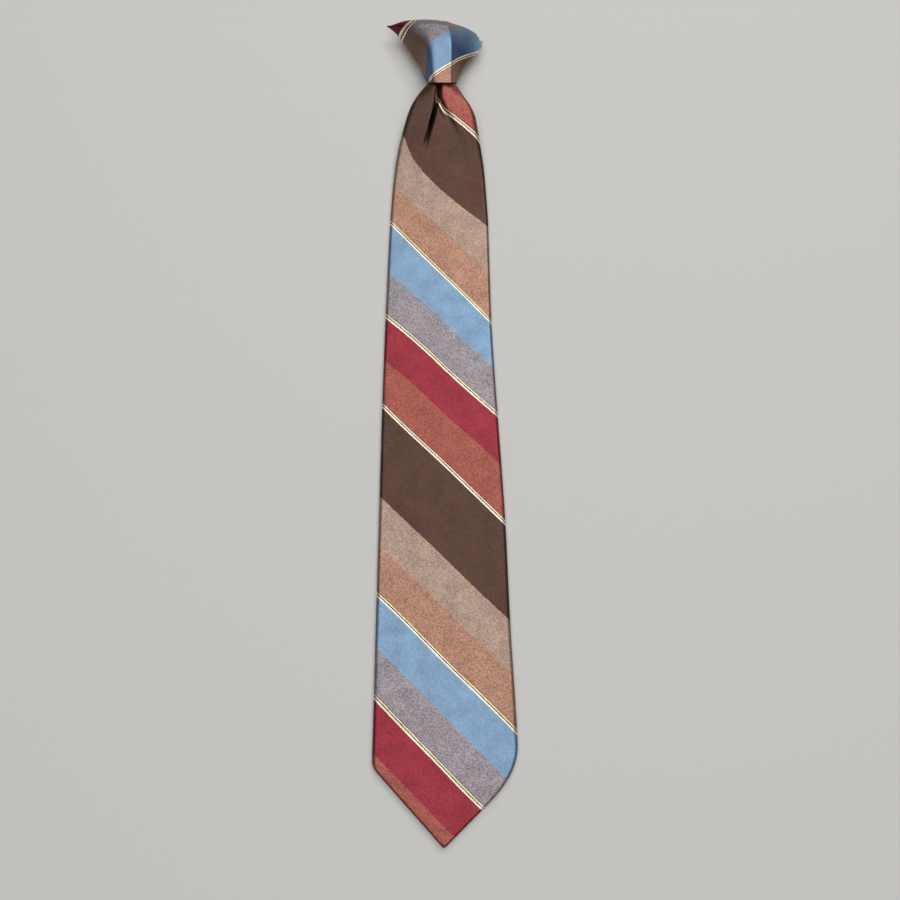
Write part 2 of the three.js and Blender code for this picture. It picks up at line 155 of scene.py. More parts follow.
# Stripes of the cloth over one repeat, in mm measured along the tie, which they cross at 45 degrees.
stripes = {
    "repeat": 245.0,
    "start": -32.75,  # place of the repeat's start above the blade's point
    # Each band: where it starts, its main thread, its fleck thread, and a darker colour painted as shade
    # where the cloth turns down steeply.
    "bands": [
        (0.0, "#5D4338", "#51382F", "#33231C"),  # brown
        (10.0, "#AE6155", "#8B4A42", "#6A3028"),  # rust heather
        (44.05, "#A23643", "#8C2C38", "#620F14"),  # crimson
        (74.75, "#A49CA1", "#7F767C", "#77604F"),  # mauve-grey heather
        (103.75, "#89A6C4", "#7A98B5", "#35507A"),  # light blue
        (135.75, "#BC907A", "#946D59", "#755140"),  # copper heather
        (165.25, "#B79D8D", "#9A7E6E", "#7A604F"),  # tan
        (195.75, "#5D4338", "#51382F", "#33231C"),  # brown
    ],
    "linePlaces": [10.0, 74.75, 135.75],
    "lineReach": 2.4,
    # Two cream lines with dark ones beside them: where each colour starts from the line's middle.
    "line": [
        (-2.2, "#3A2A1C", 0.7),
        (-2.0, "#FFF4DC", 1.0),
        (-0.55, "#3A2415", 1.0),
        (0.3, "#FFE8C8", 1.0),
        (1.35, "#3A2415", 1.0),
        (1.75, "#3A2415", 0.0),
    ],
}
# Weave. Threads are 0.2 mm apart, too fine to show, so their floats are drawn coarser: 0.67 mm long and
# 0.48 mm wide.
weave = {
    "floats": (1500.0, 2100.0, 1.0),  # floats in each metre, along the stripes and across them
    "step": 0.0002,  # metres by which a band's boundary steps from float to float
    "fleckFrom": 0.55,  # a float whose chance is higher is a fleck
    "fleckShare": 0.85,  # how far a fleck turns to its own thread's colour
    "closed": 0.92,  # upward part of the cloth's direction above which no painted shade shows
    "paintedShade": 0.55,  # and below which the colour is all painted shade
    "patches": 90.0,  # patches of uneven dye and pressing in each metre
    "patchStrength": (0.9, 1.1),
    "ribs": (350.0, 2200.0, 1.0),  # ribs in each metre, along the stripes and across them
    "ribDepth": 0.00006,  # metres
}


# Fills a colour ramp with steps: each colour and its alpha hold from their place to the next one.
def fillSteps(ramp, steps):
    ramp.color_ramp.interpolation = "CONSTANT"
    elements = ramp.color_ramp.elements
    while len(elements) < len(steps):
        elements.new(1.0)
    for element, (place, colour, alpha) in zip(elements, steps):
        element.position = place
        element.color = toLinear(colour)[:3] + (alpha,)


# Satin-faced polyester, woven in stripes on a jacquard loom. Its long floats lie along the stripes and
# give the cloth a soft coloured gleam; flecks of a second thread make the heather bands.
def wovenSatin(name):
    material = bpy.data.materials.new(name)
    material.use_nodes = True
    tree = material.node_tree
    tree.nodes.clear()
    output = addNode(tree, "ShaderNodeOutputMaterial")
    cloth = addNode(tree, "ShaderNodeUVMap", {"uv_map": "cloth"}).outputs["UV"]
    floats = addNode(tree, "ShaderNodeMapping", None, {"Vector": cloth, "Scale": weave["floats"]})
    eachFloat = addNode(tree, "ShaderNodeVectorMath", {"operation": "FLOOR"}, {0: floats.outputs[0]})
    chance = addNode(
        tree, "ShaderNodeTexWhiteNoise", {"noise_dimensions": "2D"}, {"Vector": eachFloat.outputs[0]}
    ).outputs["Value"]
    places = addNode(tree, "ShaderNodeSeparateXYZ", None, {"Vector": cloth}).outputs["Y"]
    stepped = addNode(
        tree, "ShaderNodeMath", {"operation": "MULTIPLY_ADD"}, {0: chance, 1: weave["step"], 2: places}
    ).outputs[0]
    # Share of the repeat that has passed, less the steps' mean.
    perRepeat = math.sqrt(2) / stripes["repeat"]
    first = stripes["start"] / stripes["repeat"] + 500 * weave["step"] * perRepeat
    along = addNode(
        tree, "ShaderNodeMath", {"operation": "MULTIPLY_ADD"}, {0: stepped, 1: 1000 * perRepeat, 2: -first}
    ).outputs[0]
    share = addNode(tree, "ShaderNodeMath", {"operation": "FRACT"}, {0: along}).outputs[0]
    # Which band: the number of band starts that are passed.
    passed = 0.0
    for start, *_ in stripes["bands"][1:]:
        limit = start / stripes["repeat"]
        above = addNode(tree, "ShaderNodeMath", {"operation": "GREATER_THAN"}, {0: share, 1: limit})
        passed = addNode(tree, "ShaderNodeMath", None, {0: above.outputs[0], 1: passed}).outputs[0]
    count = len(stripes["bands"])
    band = addNode(tree, "ShaderNodeMath", {"operation": "MULTIPLY"}, {0: passed, 1: 1 / count}).outputs[0]
    # The third column's colours are painted shade, for where the cloth turns down steeply.
    threads = []
    for column in (1, 2, 3):
        ramp = addNode(tree, "ShaderNodeValToRGB", None, {"Fac": band})
        steps = [(max(n - 0.5, 0) / count, row[column], 1.0) for n, row in enumerate(stripes["bands"])]
        fillSteps(ramp, steps)
        threads.append(ramp.outputs["Color"])
    mainThread, fleckThread, paintedShadeColour = threads
    isFleck = addNode(
        tree, "ShaderNodeMath", {"operation": "GREATER_THAN"}, {0: chance, 1: weave["fleckFrom"]}
    ).outputs[0]
    fleck = addNode(
        tree, "ShaderNodeMath", {"operation": "MULTIPLY"}, {0: isFleck, 1: weave["fleckShare"]}
    ).outputs[0]
    floatColour = addNode(
        tree, "ShaderNodeMix", {"data_type": "RGBA"}, {0: fleck, 6: mainThread, 7: fleckThread}
    ).outputs[2]
    # Painted shade: where the cloth's surface turns steeply away from level, its colour is mixed towards
    # the band's darker painted shade colour.
    direction = addNode(tree, "ShaderNodeNewGeometry").outputs["Normal"]
    upward = addNode(tree, "ShaderNodeSeparateXYZ", None, {"Vector": direction}).outputs["Z"]
    level = addNode(tree, "ShaderNodeMath", {"operation": "ABSOLUTE"}, {0: upward}).outputs[0]
    paintedShade = addNode(
        tree,
        "ShaderNodeMapRange",
        {"interpolation_type": "SMOOTHSTEP"},
        {"Value": level, "From Min": weave["closed"], "From Max": weave["paintedShade"]},
    ).outputs["Result"]
    bandColour = addNode(
        tree, "ShaderNodeMix", {"data_type": "RGBA"}, {0: paintedShade, 6: floatColour, 7: paintedShadeColour}
    ).outputs[2]
    # Double lines: places near each line run from 0 to 1, and all others are whole numbers.
    near = 0.0
    for place in stripes["linePlaces"]:
        low, high = ((place + side * stripes["lineReach"]) / stripes["repeat"] for side in (-1, 1))
        ran = addNode(tree, "ShaderNodeMapRange", None, {"Value": share, "From Min": low, "From Max": high})
        near = addNode(tree, "ShaderNodeMath", None, {0: ran.outputs["Result"], 1: near}).outputs[0]
    inLine = addNode(tree, "ShaderNodeMath", {"operation": "FRACT"}, {0: near}).outputs[0]
    line = addNode(tree, "ShaderNodeValToRGB", None, {"Fac": inLine})
    steps = [(0.5 + place / (2 * stripes["lineReach"]), *rest) for place, *rest in stripes["line"]]
    fillSteps(line, [(0.0, "#2A1A10", 0.0)] + steps)
    colour = addNode(
        tree,
        "ShaderNodeMix",
        {"data_type": "RGBA"},
        {0: line.outputs["Alpha"], 6: bandColour, 7: line.outputs["Color"]},
    ).outputs[2]
    patches = addNode(
        tree,
        "ShaderNodeTexNoise",
        {"noise_dimensions": "2D"},
        {"Vector": cloth, "Scale": weave["patches"], "Detail": 2.0},
    ).outputs["Fac"]
    low, high = weave["patchStrength"]
    strength = addNode(
        tree,
        "ShaderNodeMapRange",
        None,
        {"Value": patches, "From Min": 0.3, "From Max": 0.7, "To Min": low, "To Max": high},
    ).outputs["Result"]
    dyed = addNode(tree, "ShaderNodeHueSaturation", None, {"Value": strength, "Color": colour})
    ribPlaces = addNode(tree, "ShaderNodeMapping", None, {"Vector": cloth, "Scale": weave["ribs"]})
    ribs = addNode(
        tree,
        "ShaderNodeTexNoise",
        {"noise_dimensions": "2D"},
        {"Vector": ribPlaces.outputs[0], "Scale": 1.0, "Detail": 1.0},
    ).outputs["Fac"]
    bump = addNode(
        tree, "ShaderNodeBump", None, {"Height": ribs, "Strength": 0.3, "Distance": weave["ribDepth"]}
    )
    satin = addNode(
        tree,
        "ShaderNodeBsdfPrincipled",
        None,
        {
            "Base Color": dyed.outputs["Color"],
            "Roughness": 0.42,
            "Metallic": 0.6,
            "IOR": 1.54,
            "Specular IOR Level": 0.3,
            "Normal": bump.outputs["Normal"],
        },
    )
    tree.links.new(satin.outputs["BSDF"], output.inputs["Surface"])
    return material


satinCloth = wovenSatin("wovenPolyesterSatin")
print("cloth woven")


# Blade, in mm from its point, +Y towards the knot. Its length, width and point are the frame's.
blade = {
    "length": 484.0,
    "width": 84.0,
    "pointLeft": 44.0,  # height at which the point's left side would meet the straight edge
    "pointRight": 39.6,
    "pointWidth": 1.4,
    "neckTuck": 14.0,
    "wall": 1.0,
    "lap": 5.0,  # how far one edge of the cloth laps the other at the back
    "cornerLeft": 3.0,
    "cornerRight": 17.0,
    "tipRound": 2.3,  # stretch over which the point's end is rounded
    "lapGap": 0.25,
    "underKnot": 1.5,  # how far before the knot's edge the cloth already stays below the knot's
    "neckRows": 138,
    "frontColumns": 132,
    "sideColumns": 15,
}
# Shares of the blade's width on each side of the point's line.
bladeEdges = {
    "up": [
        0.0, 0.094, 0.26, 0.381, 0.518, 0.658, 0.807, 0.85, 0.886, 0.915, 0.942, 0.961, 0.976,
        0.988, 1.0, 1.009, 1.015,
    ],
    "left": [
        -0.499, -0.493, -0.486, -0.48, -0.474, -0.461, -0.437, -0.425, -0.407, -0.382, -0.343,
        -0.312, -0.278, -0.236, -0.19, -0.152, -0.13,
    ],
    "right": [
        0.512, 0.508, 0.468, 0.446, 0.403, 0.362, 0.345, 0.332, 0.317, 0.294, 0.269, 0.248, 0.208,
        0.161, 0.121, 0.092, 0.0775,
    ],
}
# Heights in mm: the back's lift off the floor, the thickness at the sides, the front's rise above them.
bladeForm = {
    "up": [0.0, 0.2, 0.807, 0.85, 0.886, 0.915, 0.942, 0.961, 0.979, 0.995, 1.0, 1.015, 1.03],
    "lift": [0, 0, 0, 0, 0.5, 1.7, 3.6, 5.4, 7.6, 9.9, 10.4, 10.6, 10.6],
    "side": [4.6, 4.6, 4.6, 4.9, 5.9, 7.4, 8.9, 9.4, 9.0, 6.9, 5.8, 4.4, 4.3],
    "dome": [0, 0.3, 0.4, 0.6, 1.0, 1.5, 1.5, 1.4, 1.5, 2.5, 3.6, 5.0, 5.0],
}
# Crease between the two lobes under the knot, running down to the left.
crease = {
    "lean": 0.45,  # mm sideways for each mm of depth
    "swallow": 0.5,  # mm over which the cloth that it swallows goes missing
    "swallowAt": 0.8,  # mm from its middle to the right at which that is
    "swallowFrom": 0.87,  # share of the blade's length at which that begins
    "swallowOver": 0.06,  # and over which it grows to its full amount
    "floor": 3.4,  # mm above the blade's underside, where the back's two layers and its own stop it
    "drawn": 10.0,  # mm of cloth that runs down into it at its right
    "drawnReach": 2.4,
    "up": [0.9, 0.918, 0.93, 0.942, 0.956, 0.968, 0.98, 0.99, 1.0],
    "at": [-0.42, -0.385, -0.35, -0.31, -0.26, -0.21, -0.155, -0.11, -0.08],
    "depth": [0, 0.6, 2.6, 5.0, 6.6, 7.0, 7.2, 7.6, 6.6],
    "reach": [2.4, 1.6, 1.3, 1.2, 1.2, 1.2, 1.1, 1.3, 1.6],
}
# Soft valley that runs down to the right, steep under the right lobe.
valley = {
    "up": [0.82, 0.851, 0.879, 0.9025, 0.9258, 0.9459, 0.9593, 0.9693, 0.979, 0.99, 1.0],
    "at": [0.78, 0.74, 0.68, 0.62, 0.51, 0.35, 0.19, 0.05, -0.06, -0.12, -0.12],
    "depth": [0, 0.3, 0.6, 0.9, 1.2, 1.6, 2.2, 2.8, 3.0, 2.4, 1.2],
    "inner": [8, 8, 7.6, 7.2, 6.4, 5.6, 4.8, 4.0, 3.2, 2.4, 2],
    "outer": [6, 6, 5.6, 5.2, 4.6, 3.8, 3.2, 2.8, 2.6, 2.6, 2.4],
}
# Drift of the stripes from straight 45 degree lines, in mm: along the middle, and what the crease
# swallows on its left and the valley on its right.
drift = {
    "up": [
        0, 0.11, 0.17, 0.22, 0.28, 0.345, 0.4, 0.46, 0.53, 0.595, 0.66, 0.73, 0.795, 0.827, 0.86,
        0.89, 0.92, 0.935, 0.96, 1,
    ],
    "middle": [
        0, -0.2, 0.1, 0.6, 0.2, 0.3, 0.5, 0.8, 2.6, 1.8, 0, -1.5, -4.0, -2.6, -1.4, -1.4, -1.0,
        -0.8, 0, 1,
    ],
    "left": [
        0, 2.0, 0.7, 0.8, 1.8, 3.0, 1.8, 0.4, -1.0, 3.2, 4.5, 2.8, 0.2, -1.6, -3.5, -4, -10.5, -14,
        -16.5, -18,
    ],
    "right": [
        -1.3, -1.1, -2.2, -3.0, -1.4, -0.4, 0, -0.3, -3.0, -2.4, 0.8, -0.8, -2.0, -1, -0.6, -1.6,
        -3.6, -4.6, -5, -4,
    ],
}


# Left and right edge at a distance: the slanted point's sides, rounded into the drawn edges.
def bladeSides(distance):
    up = distance / blade["length"]
    tip = blade["pointWidth"] / 2
    slantedLeft = tip + distance / blade["pointLeft"] * blade["width"] / 2
    slantedRight = tip + distance / blade["pointRight"] * blade["width"] / 2
    left = roundedMin(slantedLeft, -follow(bladeEdges, "left", up) * blade["width"], blade["cornerLeft"])
    right = roundedMin(slantedRight, follow(bladeEdges, "right", up) * blade["width"], blade["cornerRight"])
    return -left, right


# Height of the front above its side edges, and how far it leans to the left: a dome, less a narrow
# bell for the crease, which slips under the left lobe, and less a valley that falls off as a bell with
# its own reach on each side.
def bladeFront(distance, share):
    up = distance / blade["length"]
    left, right = bladeSides(distance)
    half = (right - left) / 2
    across = 2 * share - 1
    fromCrease = (across - follow(crease, "at", up)) * half / follow(crease, "reach", up)
    fromValley = (across - follow(valley, "at", up)) * half
    reach = np.where(fromValley < 0, follow(valley, "inner", up), follow(valley, "outer", up))
    creased = follow(crease, "depth", up) * np.exp(-(fromCrease**2))
    sunk = follow(valley, "depth", up) * np.exp(-((fromValley / reach) ** 2))
    rise = follow(bladeForm, "dome", up) * (1 - across**2) - (creased + sunk) * (1 - across**4)
    return rise, crease["lean"] * creased


# Blade's cloth: the grid runs along the tie, and across it from the edge hidden inside the back seam,
# round the left side, over the front, round the right side and back over that first edge.
def bladeSheet():
    tip = np.linspace(0, 1, 9) ** 2 * blade["tipRound"]
    flat = [np.linspace(3.2, 60, 26), np.linspace(64, 384, 81)]
    neck = np.linspace(386, blade["length"] + blade["neckTuck"], blade["neckRows"])
    distance = np.concatenate([tip, *flat, neck])[:, None]
    up = distance / blade["length"]
    left, right = bladeSides(distance)
    side = follow(bladeForm, "side", up)
    bottom = follow(bladeForm, "lift", up)
    radius = np.minimum(side / 2, (right - left) * 0.45)
    turn = np.linspace(0, np.pi, blade["sideColumns"])[None, :]
    middle = (left + right) / 2
    under = np.linspace(0, 1, blade["sideColumns"])[None, :]
    flapWidth = np.minimum(blade["lap"], (right - left) / 6)
    # Inner flap: from its edge past the middle, out to the left side, rising over the outer flap.
    innerX = mix(middle + flapWidth / 2, left + radius, under)
    lift = np.clip((innerX - (middle - 1.6 * flapWidth)) / flapWidth, 0, 1)
    innerZ = bottom + (blade["wall"] + blade["lapGap"]) * lift * lift * (3 - 2 * lift)
    leftX = left + radius * (1 - np.sin(turn))
    leftZ = bottom + side / 2 * (1 - np.cos(turn))
    share = np.linspace(0, 1, blade["frontColumns"])[None, 1:-1]
    frontX = mix(left + radius, right - radius, share)
    rise, lean = bladeFront(distance, share)
    free = bottom + np.maximum(side + rise, crease["floor"])
    # Under the knot the cloth stays below the knot's own cloth.
    isUnder = distance > mouthEdge(frontX) - blade["underKnot"]
    frontZ = np.where(isUnder, np.minimum(free, mouthRoof(frontX)), free)
    rightX = right - radius * (1 - np.sin(turn))
    rightZ = bottom + side / 2 * (1 + np.cos(turn))
    outerX = mix(right - radius, middle - flapWidth / 2, under)
    outerZ = bottom + 0 * outerX
    x = np.concatenate([innerX[:, :-1], leftX, frontX, rightX, outerX[:, 1:]], axis=1)
    z = np.concatenate([innerZ[:, :-1], leftZ, frontZ, rightZ, outerZ[:, 1:]], axis=1)
    y = distance + 0 * x
    # The point's end is rounded: the section closes towards its middle height.
    closing = np.sqrt(np.clip(1 - (1 - distance / blade["tipRound"]).clip(0, 1) ** 2, 0, 1))
    z = bottom + side / 2 + (z - bottom - side / 2) * closing
    points = np.stack([x, y, z], axis=2)
    points[:, innerX.shape[1] - 1 + leftX.shape[1] :][:, : frontX.shape[1], 0] -= lean
    # Cloth map: places in the flat cloth, from arc lengths past the sides and the stripes' drift.
    inFront = np.clip((x - left) / (right - left), 0, 1)
    fromCrease = (2 * inFront - 1 - follow(crease, "at", up)) * (right - left) / 2
    swallowed = 0.5 - 0.5 * np.tanh((fromCrease - crease["swallowAt"]) / crease["swallow"])
    inCrease = follow(crease, "depth", up) / max(crease["depth"])
    fading = np.exp(-np.maximum(fromCrease, 0) / crease["drawnReach"])
    drawn = crease["drawn"] * inCrease * fading * (1 - swallowed)
    leftShare = np.clip((middle - x) / (middle - left), 0, 1) ** 1.5
    inNeck = np.clip((up - crease["swallowFrom"]) / crease["swallowOver"], 0, 1)
    leftShare = mix(leftShare, swallowed, inNeck)
    rightShare = np.clip((x - middle) / (right - middle), 0, 1) ** 1.5
    arc = alongGrid(points, 1)
    start = len(innerX[0]) - 1 + len(turn[0]) // 2
    end = x.shape[1] - start - 1
    columns = np.arange(x.shape[1])[None, :]
    beyondLeft = np.where(columns < start, arc - arc[:, start : start + 1], 0)
    beyondRight = np.where(columns > end, arc - arc[:, end : end + 1], 0)
    flatX = np.where(columns < start, left, np.where(columns > end, right, x)) + beyondLeft + beyondRight
    sideways = leftShare * follow(drift, "left", up) + rightShare * follow(drift, "right", up)
    shifted = follow(drift, "middle", up) - drawn + sideways
    cloth = np.stack([(y - flatX) / math.sqrt(2), (flatX + y + shifted) / math.sqrt(2)], axis=2) / 1000
    return points, cloth


# Knot, in mm from the knot's axis and lower edge. Its width, mouth and back are the frame's.
knot = {
    "axis": -0.026 * blade["width"],
    "width": 71.0,
    "wall": 1.0,
    "back": 6.8,  # height of the cloth behind the clip
    "mouthSlant": 0.82,  # how far the lower edge is set back for each mm that it is lower
    "mouthReach": 0.3,  # share of the height over which that fades
    "mouthRoom": 1.3,  # from the front of the knot's cloth at the mouth to the blade's cloth
    "mouthInset": 0.6,  # and the same at its sides
    "rightSoft": 0.5,  # how softly the level facet ends at its right, in mm
    "rightPower": 1.15,  # power of the flank there
    "sideRound": 3.0,
    "border": 7.0,  # cloth turned behind the clip on each side
    "closedFrom": 0.76,  # share of the height above which the back is closed
    "wingTop": 45.5,  # height of the right wing's uncut tip
    "cornerCut": 6.4,  # how much of that tip the clip's arm leaves out
    "cornerTurn": 28.0,  # degrees
    "topRound": 0.045,  # share of the height over which the top edge is rounded
    "rows": (84, 27),
    "frontColumns": 121,
    "sideColumns": 9,
    "backColumns": 15,
}
# left, right: shares of the width; crown, edge: heights in mm of the level facet in front and of the
# widest place; facet, crease: where the level facet ends at its left and right, in mm; soft: how softly
# it ends at its left; power: of the flank there.
knotSections = {
    "up": [0.0, 0.18, 0.37, 0.58, 0.8, 0.9, 0.95, 0.98, 1.0],
    "left": [-0.138, -0.177, -0.209, -0.303, -0.405, -0.459, -0.499, -0.529, -0.55],
    "right": [0.142, 0.157, 0.2, 0.298, 0.39, 0.421, 0.438, 0.449, 0.454],
    "crown": [21.7, 24.2, 26.4, 27.7, 27.0, 24.7, 21.8, 18.3, 14.3],
    "edge": [12.8, 12.4, 11.5, 10.6, 9.7, 9.5, 9.4, 9.3, 9.3],
    "facet": [-6.6, -7.2, -7.9, -11.5, -22.0, -27.0, -29.0, -30.0, -31.0],
    "crease": [6.9, 7.0, 6.9, 6.3, 4.6, 3.6, 3.2, 3.0, 3.0],
    "soft": [1.2, 1.4, 1.7, 3.6, 8.0, 9.0, 9.0, 9.0, 9.0],
    "power": [1.2, 1.2, 1.1, 0.95, 0.75, 0.68, 0.65, 0.65, 0.65],
}
# Top edge, in mm above the lower one.
knotTop = {
    "across": [-39, -35.6, -32, -28.6, -25, -19.5, -14.6, -6, 0, 6, 11, 16, 21, 25, 32],
    "top": [56.3, 56.0, 55.6, 55.3, 55.2, 55.0, 54.8, 54.2, 53.1, 52.6, 52.7, 52.5, 50.9, 48.9, 46.2],
}


# Share of the crown's height at x: level over the facet, then one flank on each side. A flank runs down
# as 1 less the share of its width, to a power; the share is softened near the facet.
def knotProfile(x, left, right, up):
    facet, fold, soft, power = (
        follow(knotSections, name, up) for name in ("facet", "crease", "soft", "power")
    )
    leftSide = (facet - x, facet - left, soft, power)
    rightSide = (x - fold, right - fold, knot["rightSoft"], knot["rightPower"])
    height = 1.0
    for beyond, end, softness, exponent in (leftSide, rightSide):
        share = (beyond + np.hypot(beyond, softness)) / (end + np.hypot(end, softness))
        height = height * (1 - np.clip(share, 0, 1)) ** exponent
    return height


# Height up to which the blade's cloth may reach at the knot's lower edge: the knot's own profile there,
# less the room between them.
def mouthRoof(x):
    first = {name: column[0] for name, column in knotSections.items()}
    half = first["right"] * knot["width"] - knot["mouthInset"]
    inside = np.clip(x - knot["axis"], -half, half)
    share = knotProfile(inside, -half, half, 0.0)
    return mix(first["edge"], first["crown"], share) - knot["mouthRoom"]


# Place of that edge along the tie: the blade's length, and further by the slant where it is lower.
def mouthEdge(x):
    lower = knotSections["crown"][0] - knot["mouthRoom"] - mouthRoof(x)
    return blade["length"] + knot["mouthSlant"] * lower


# Knot's cloth: the grid runs up the knot, and across it from the border turned behind the clip, round
# the left wing, over the crown, round the right wing and to the other border.
def knotSheet():
    lower, upper = (np.linspace(0, 1, rows) for rows in knot["rows"])
    up = np.concatenate([0.9 * lower, 1 - 0.1 * (1 - upper[1:]) ** 2])[:, None]
    left = follow(knotSections, "left", up) * knot["width"]
    right = follow(knotSections, "right", up) * knot["width"]
    crown = follow(knotSections, "crown", up)
    edge = follow(knotSections, "edge", up)
    middle = (left + right) / 2
    half = (right - left) / 2
    bottom = knot["back"]
    radius = np.minimum(edge - bottom, knot["sideRound"])
    # Front columns crowd towards both sides, where the cloth turns down.
    across = np.sin(np.linspace(-np.pi / 2, np.pi / 2, knot["frontColumns"]))[None, :]
    frontX = middle + across * half
    frontZ = edge + (crown - edge) * knotProfile(frontX, left, right, up)
    turn = np.linspace(0, np.pi / 2, knot["sideColumns"])[None, :-1]
    under = np.linspace(0, 1, knot["backColumns"])[None, :-1]
    closed = np.clip((up - knot["closedFrom"] + 0.01) / 0.02, 0, 1)
    innerX = mix(mix(left + knot["border"], middle, closed), left + radius, under)
    outerX = mix(mix(right - knot["border"], middle, closed), right - radius, under)[:, ::-1]
    leftX = left + radius * (1 - np.sin(turn))
    rightX = (right - radius * (1 - np.sin(turn)))[:, ::-1]
    sideZ = bottom + (edge - bottom) * (1 - np.cos(turn))
    x = np.concatenate([innerX, leftX, frontX, rightX, outerX], axis=1)
    z = np.concatenate([bottom + 0 * innerX, sideZ, frontZ, sideZ[:, ::-1], bottom + 0 * outerX], axis=1)
    # The top edge is rounded: the section closes towards the height of its widest place.
    closing = np.sqrt(np.clip(1 - (1 - (1 - up) / knot["topRound"]).clip(0, 1) ** 2, 0, 1))
    z = edge + (z - edge) * closing
    fading = (1 - (up / knot["mouthReach"]).clip(0, 1)) ** 1.5
    setBack = knot["mouthSlant"] * (crown - np.maximum(z, edge)) * fading
    y = up * follow(knotTop, "top", x) + setBack
    points = np.stack([x, y, z], axis=2)
    arc = alongGrid(points, 1)
    centre = x.shape[1] // 2
    around = arc - arc[:, centre : centre + 1]
    cloth = np.stack([around + y, knotStripe(around, y)], axis=2) / math.sqrt(2) / 1000
    return points + np.array([knot["axis"], blade["length"], 0.0]), cloth


# Where three stripes cross the knot, in mm: their heights at places across the cloth from its crown.
knotStripes = {
    "across": [
        -60, -45, -36, -32, -28.5, -25, -21, -17.5, -15.5, -14, -12.5, -11, -9.5, -8, -6, -3, 0, 3,
        7, 9, 13, 17, 21, 26, 31, 38, 45, 60,
    ],
    "copper": [
        -14.0, -5.5, -1.2, 0.3, 1.4, 2.3, 3.3, 4.5, 5.3, 5.8, 5.9, 5.7, 5.2, 4.9, 5.2, 6.6, 8.5,
        10.2, 12.5, 14.2, 17.9, 21.8, 25.3, 29.2, 32.6, 37.3, 42.0, 53.0,
    ],
    "grey": [
        -8.0, -2.0, 1.6, 3.2, 4.6, 6.0, 7.9, 10.2, 14.8, 18.7, 21.2, 23.8, 26.0, 27.9, 29.9, 32.2,
        34.2, 35.9, 38.3, 40.0, 43.8, 47.5, 51.0, 55.2, 59.4, 64.8, 70.0, 82.0,
    ],
    "crimson": [
        28.0, 36.0, 44.5, 44.8, 45.4, 46.3, 47.7, 50.6, 52.7, 53.5, 54.0, 54.5, 55.0, 55.5, 56.3,
        57.6, 58.9, 60.4, 62.8, 64.3, 67.5, 71.8, 76.0, 81.0, 86.0, 91.7, 97.0, 108.0,
    ],
}


# Stripe coordinate on the knot, in mm: straight between the three stripes' own values, up the height.
def knotStripe(around, height):
    values = [stripes["start"] + stripes["bands"][n][0] for n in (5, 4, 3)]
    copper, grey, crimson = (follow(knotStripes, name, around) for name in ("copper", "grey", "crimson"))
    below = mix(values[0], values[1], (height - copper) / (grey - copper))
    above = mix(values[1], values[2], (height - grey) / (crimson - grey))
    return np.where(height < grey, below, above)


bladePoints, bladeCloth = bladeSheet()
bladeLow, bladeHigh = (np.array(corner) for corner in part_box("blade"))
# From mm above the blade's point to the frame's metres.
shift = np.array([(bladeLow[0] + bladeHigh[0]) / 2, bladeLow[1], 0.0])
shift[0] -= (bladePoints[..., 0].min() + bladePoints[..., 0].max()) / 2000
bladePiece = sheetPiece("bladeCloth", bladePoints / 1000 + shift, bladeCloth)
bladePiece.data.materials.append(satinCloth)
giveWall(bladePiece, blade["wall"] / 1000)
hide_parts("blade")
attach(bladePiece, "root")
print("blade laid, shift", shift)

knotPoints, knotCloth = knotSheet()
knotPiece = sheetPiece("knotCloth", knotPoints / 1000 + shift, knotCloth)
knotPiece.data.materials.append(satinCloth)
# The right wing ends at a slanted line, where the clip's arm comes out.
turn = math.radians(knot["cornerTurn"])
outward = np.array([math.cos(turn), math.sin(turn), 0.0])
wingRight = knot["axis"] + knotSections["right"][-1] * knot["width"]
wingTip = np.array([wingRight, blade["length"] + knot["wingTop"], 0.0])
cutPlace = (wingTip - outward * knot["cornerCut"]) / 1000 + shift
work = bmesh.new()
work.from_mesh(knotPiece.data)
whole = work.verts[:] + work.edges[:] + work.faces[:]
bmesh.ops.bisect_plane(work, geom=whole, plane_co=cutPlace, plane_no=outward, clear_outer=True)
work.to_mesh(knotPiece.data)
work.free()
giveWall(knotPiece, knot["wall"] / 1000)
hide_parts("knot")
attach(knotPiece, "root")
print("knot tied")


# Injection moulded polystyrene: smooth and glossy, a little softened by handling, slightly uneven.
def mouldedPlastic(name):
    material = bpy.data.materials.new(name)
    material.use_nodes = True
    tree = material.node_tree
    tree.nodes.clear()
    output = addNode(tree, "ShaderNodeOutputMaterial")
    place = addNode(tree, "ShaderNodeTexCoord")
    swirl = addNode(
        tree, "ShaderNodeTexNoise", None, {"Vector": place.outputs["Object"], "Scale": 90.0, "Detail": 2.0}
    )
    shade = addNode(
        tree,
        "ShaderNodeMix",
        {"data_type": "RGBA"},
        {"Factor": swirl.outputs["Fac"], 6: toLinear("#DCE0E2"), 7: toLinear("#E9ECEC")},
    )
    gloss = addNode(
        tree, "ShaderNodeMapRange", None, {"Value": swirl.outputs["Fac"], "To Min": 0.26, "To Max": 0.4}
    )
    plastic = addNode(
        tree,
        "ShaderNodeBsdfPrincipled",
        None,
        {"Base Color": shade.outputs[2], "Roughness": gloss.outputs["Result"], "IOR": 1.59},
    )
    tree.links.new(plastic.outputs["BSDF"], output.inputs["Surface"])
    return material


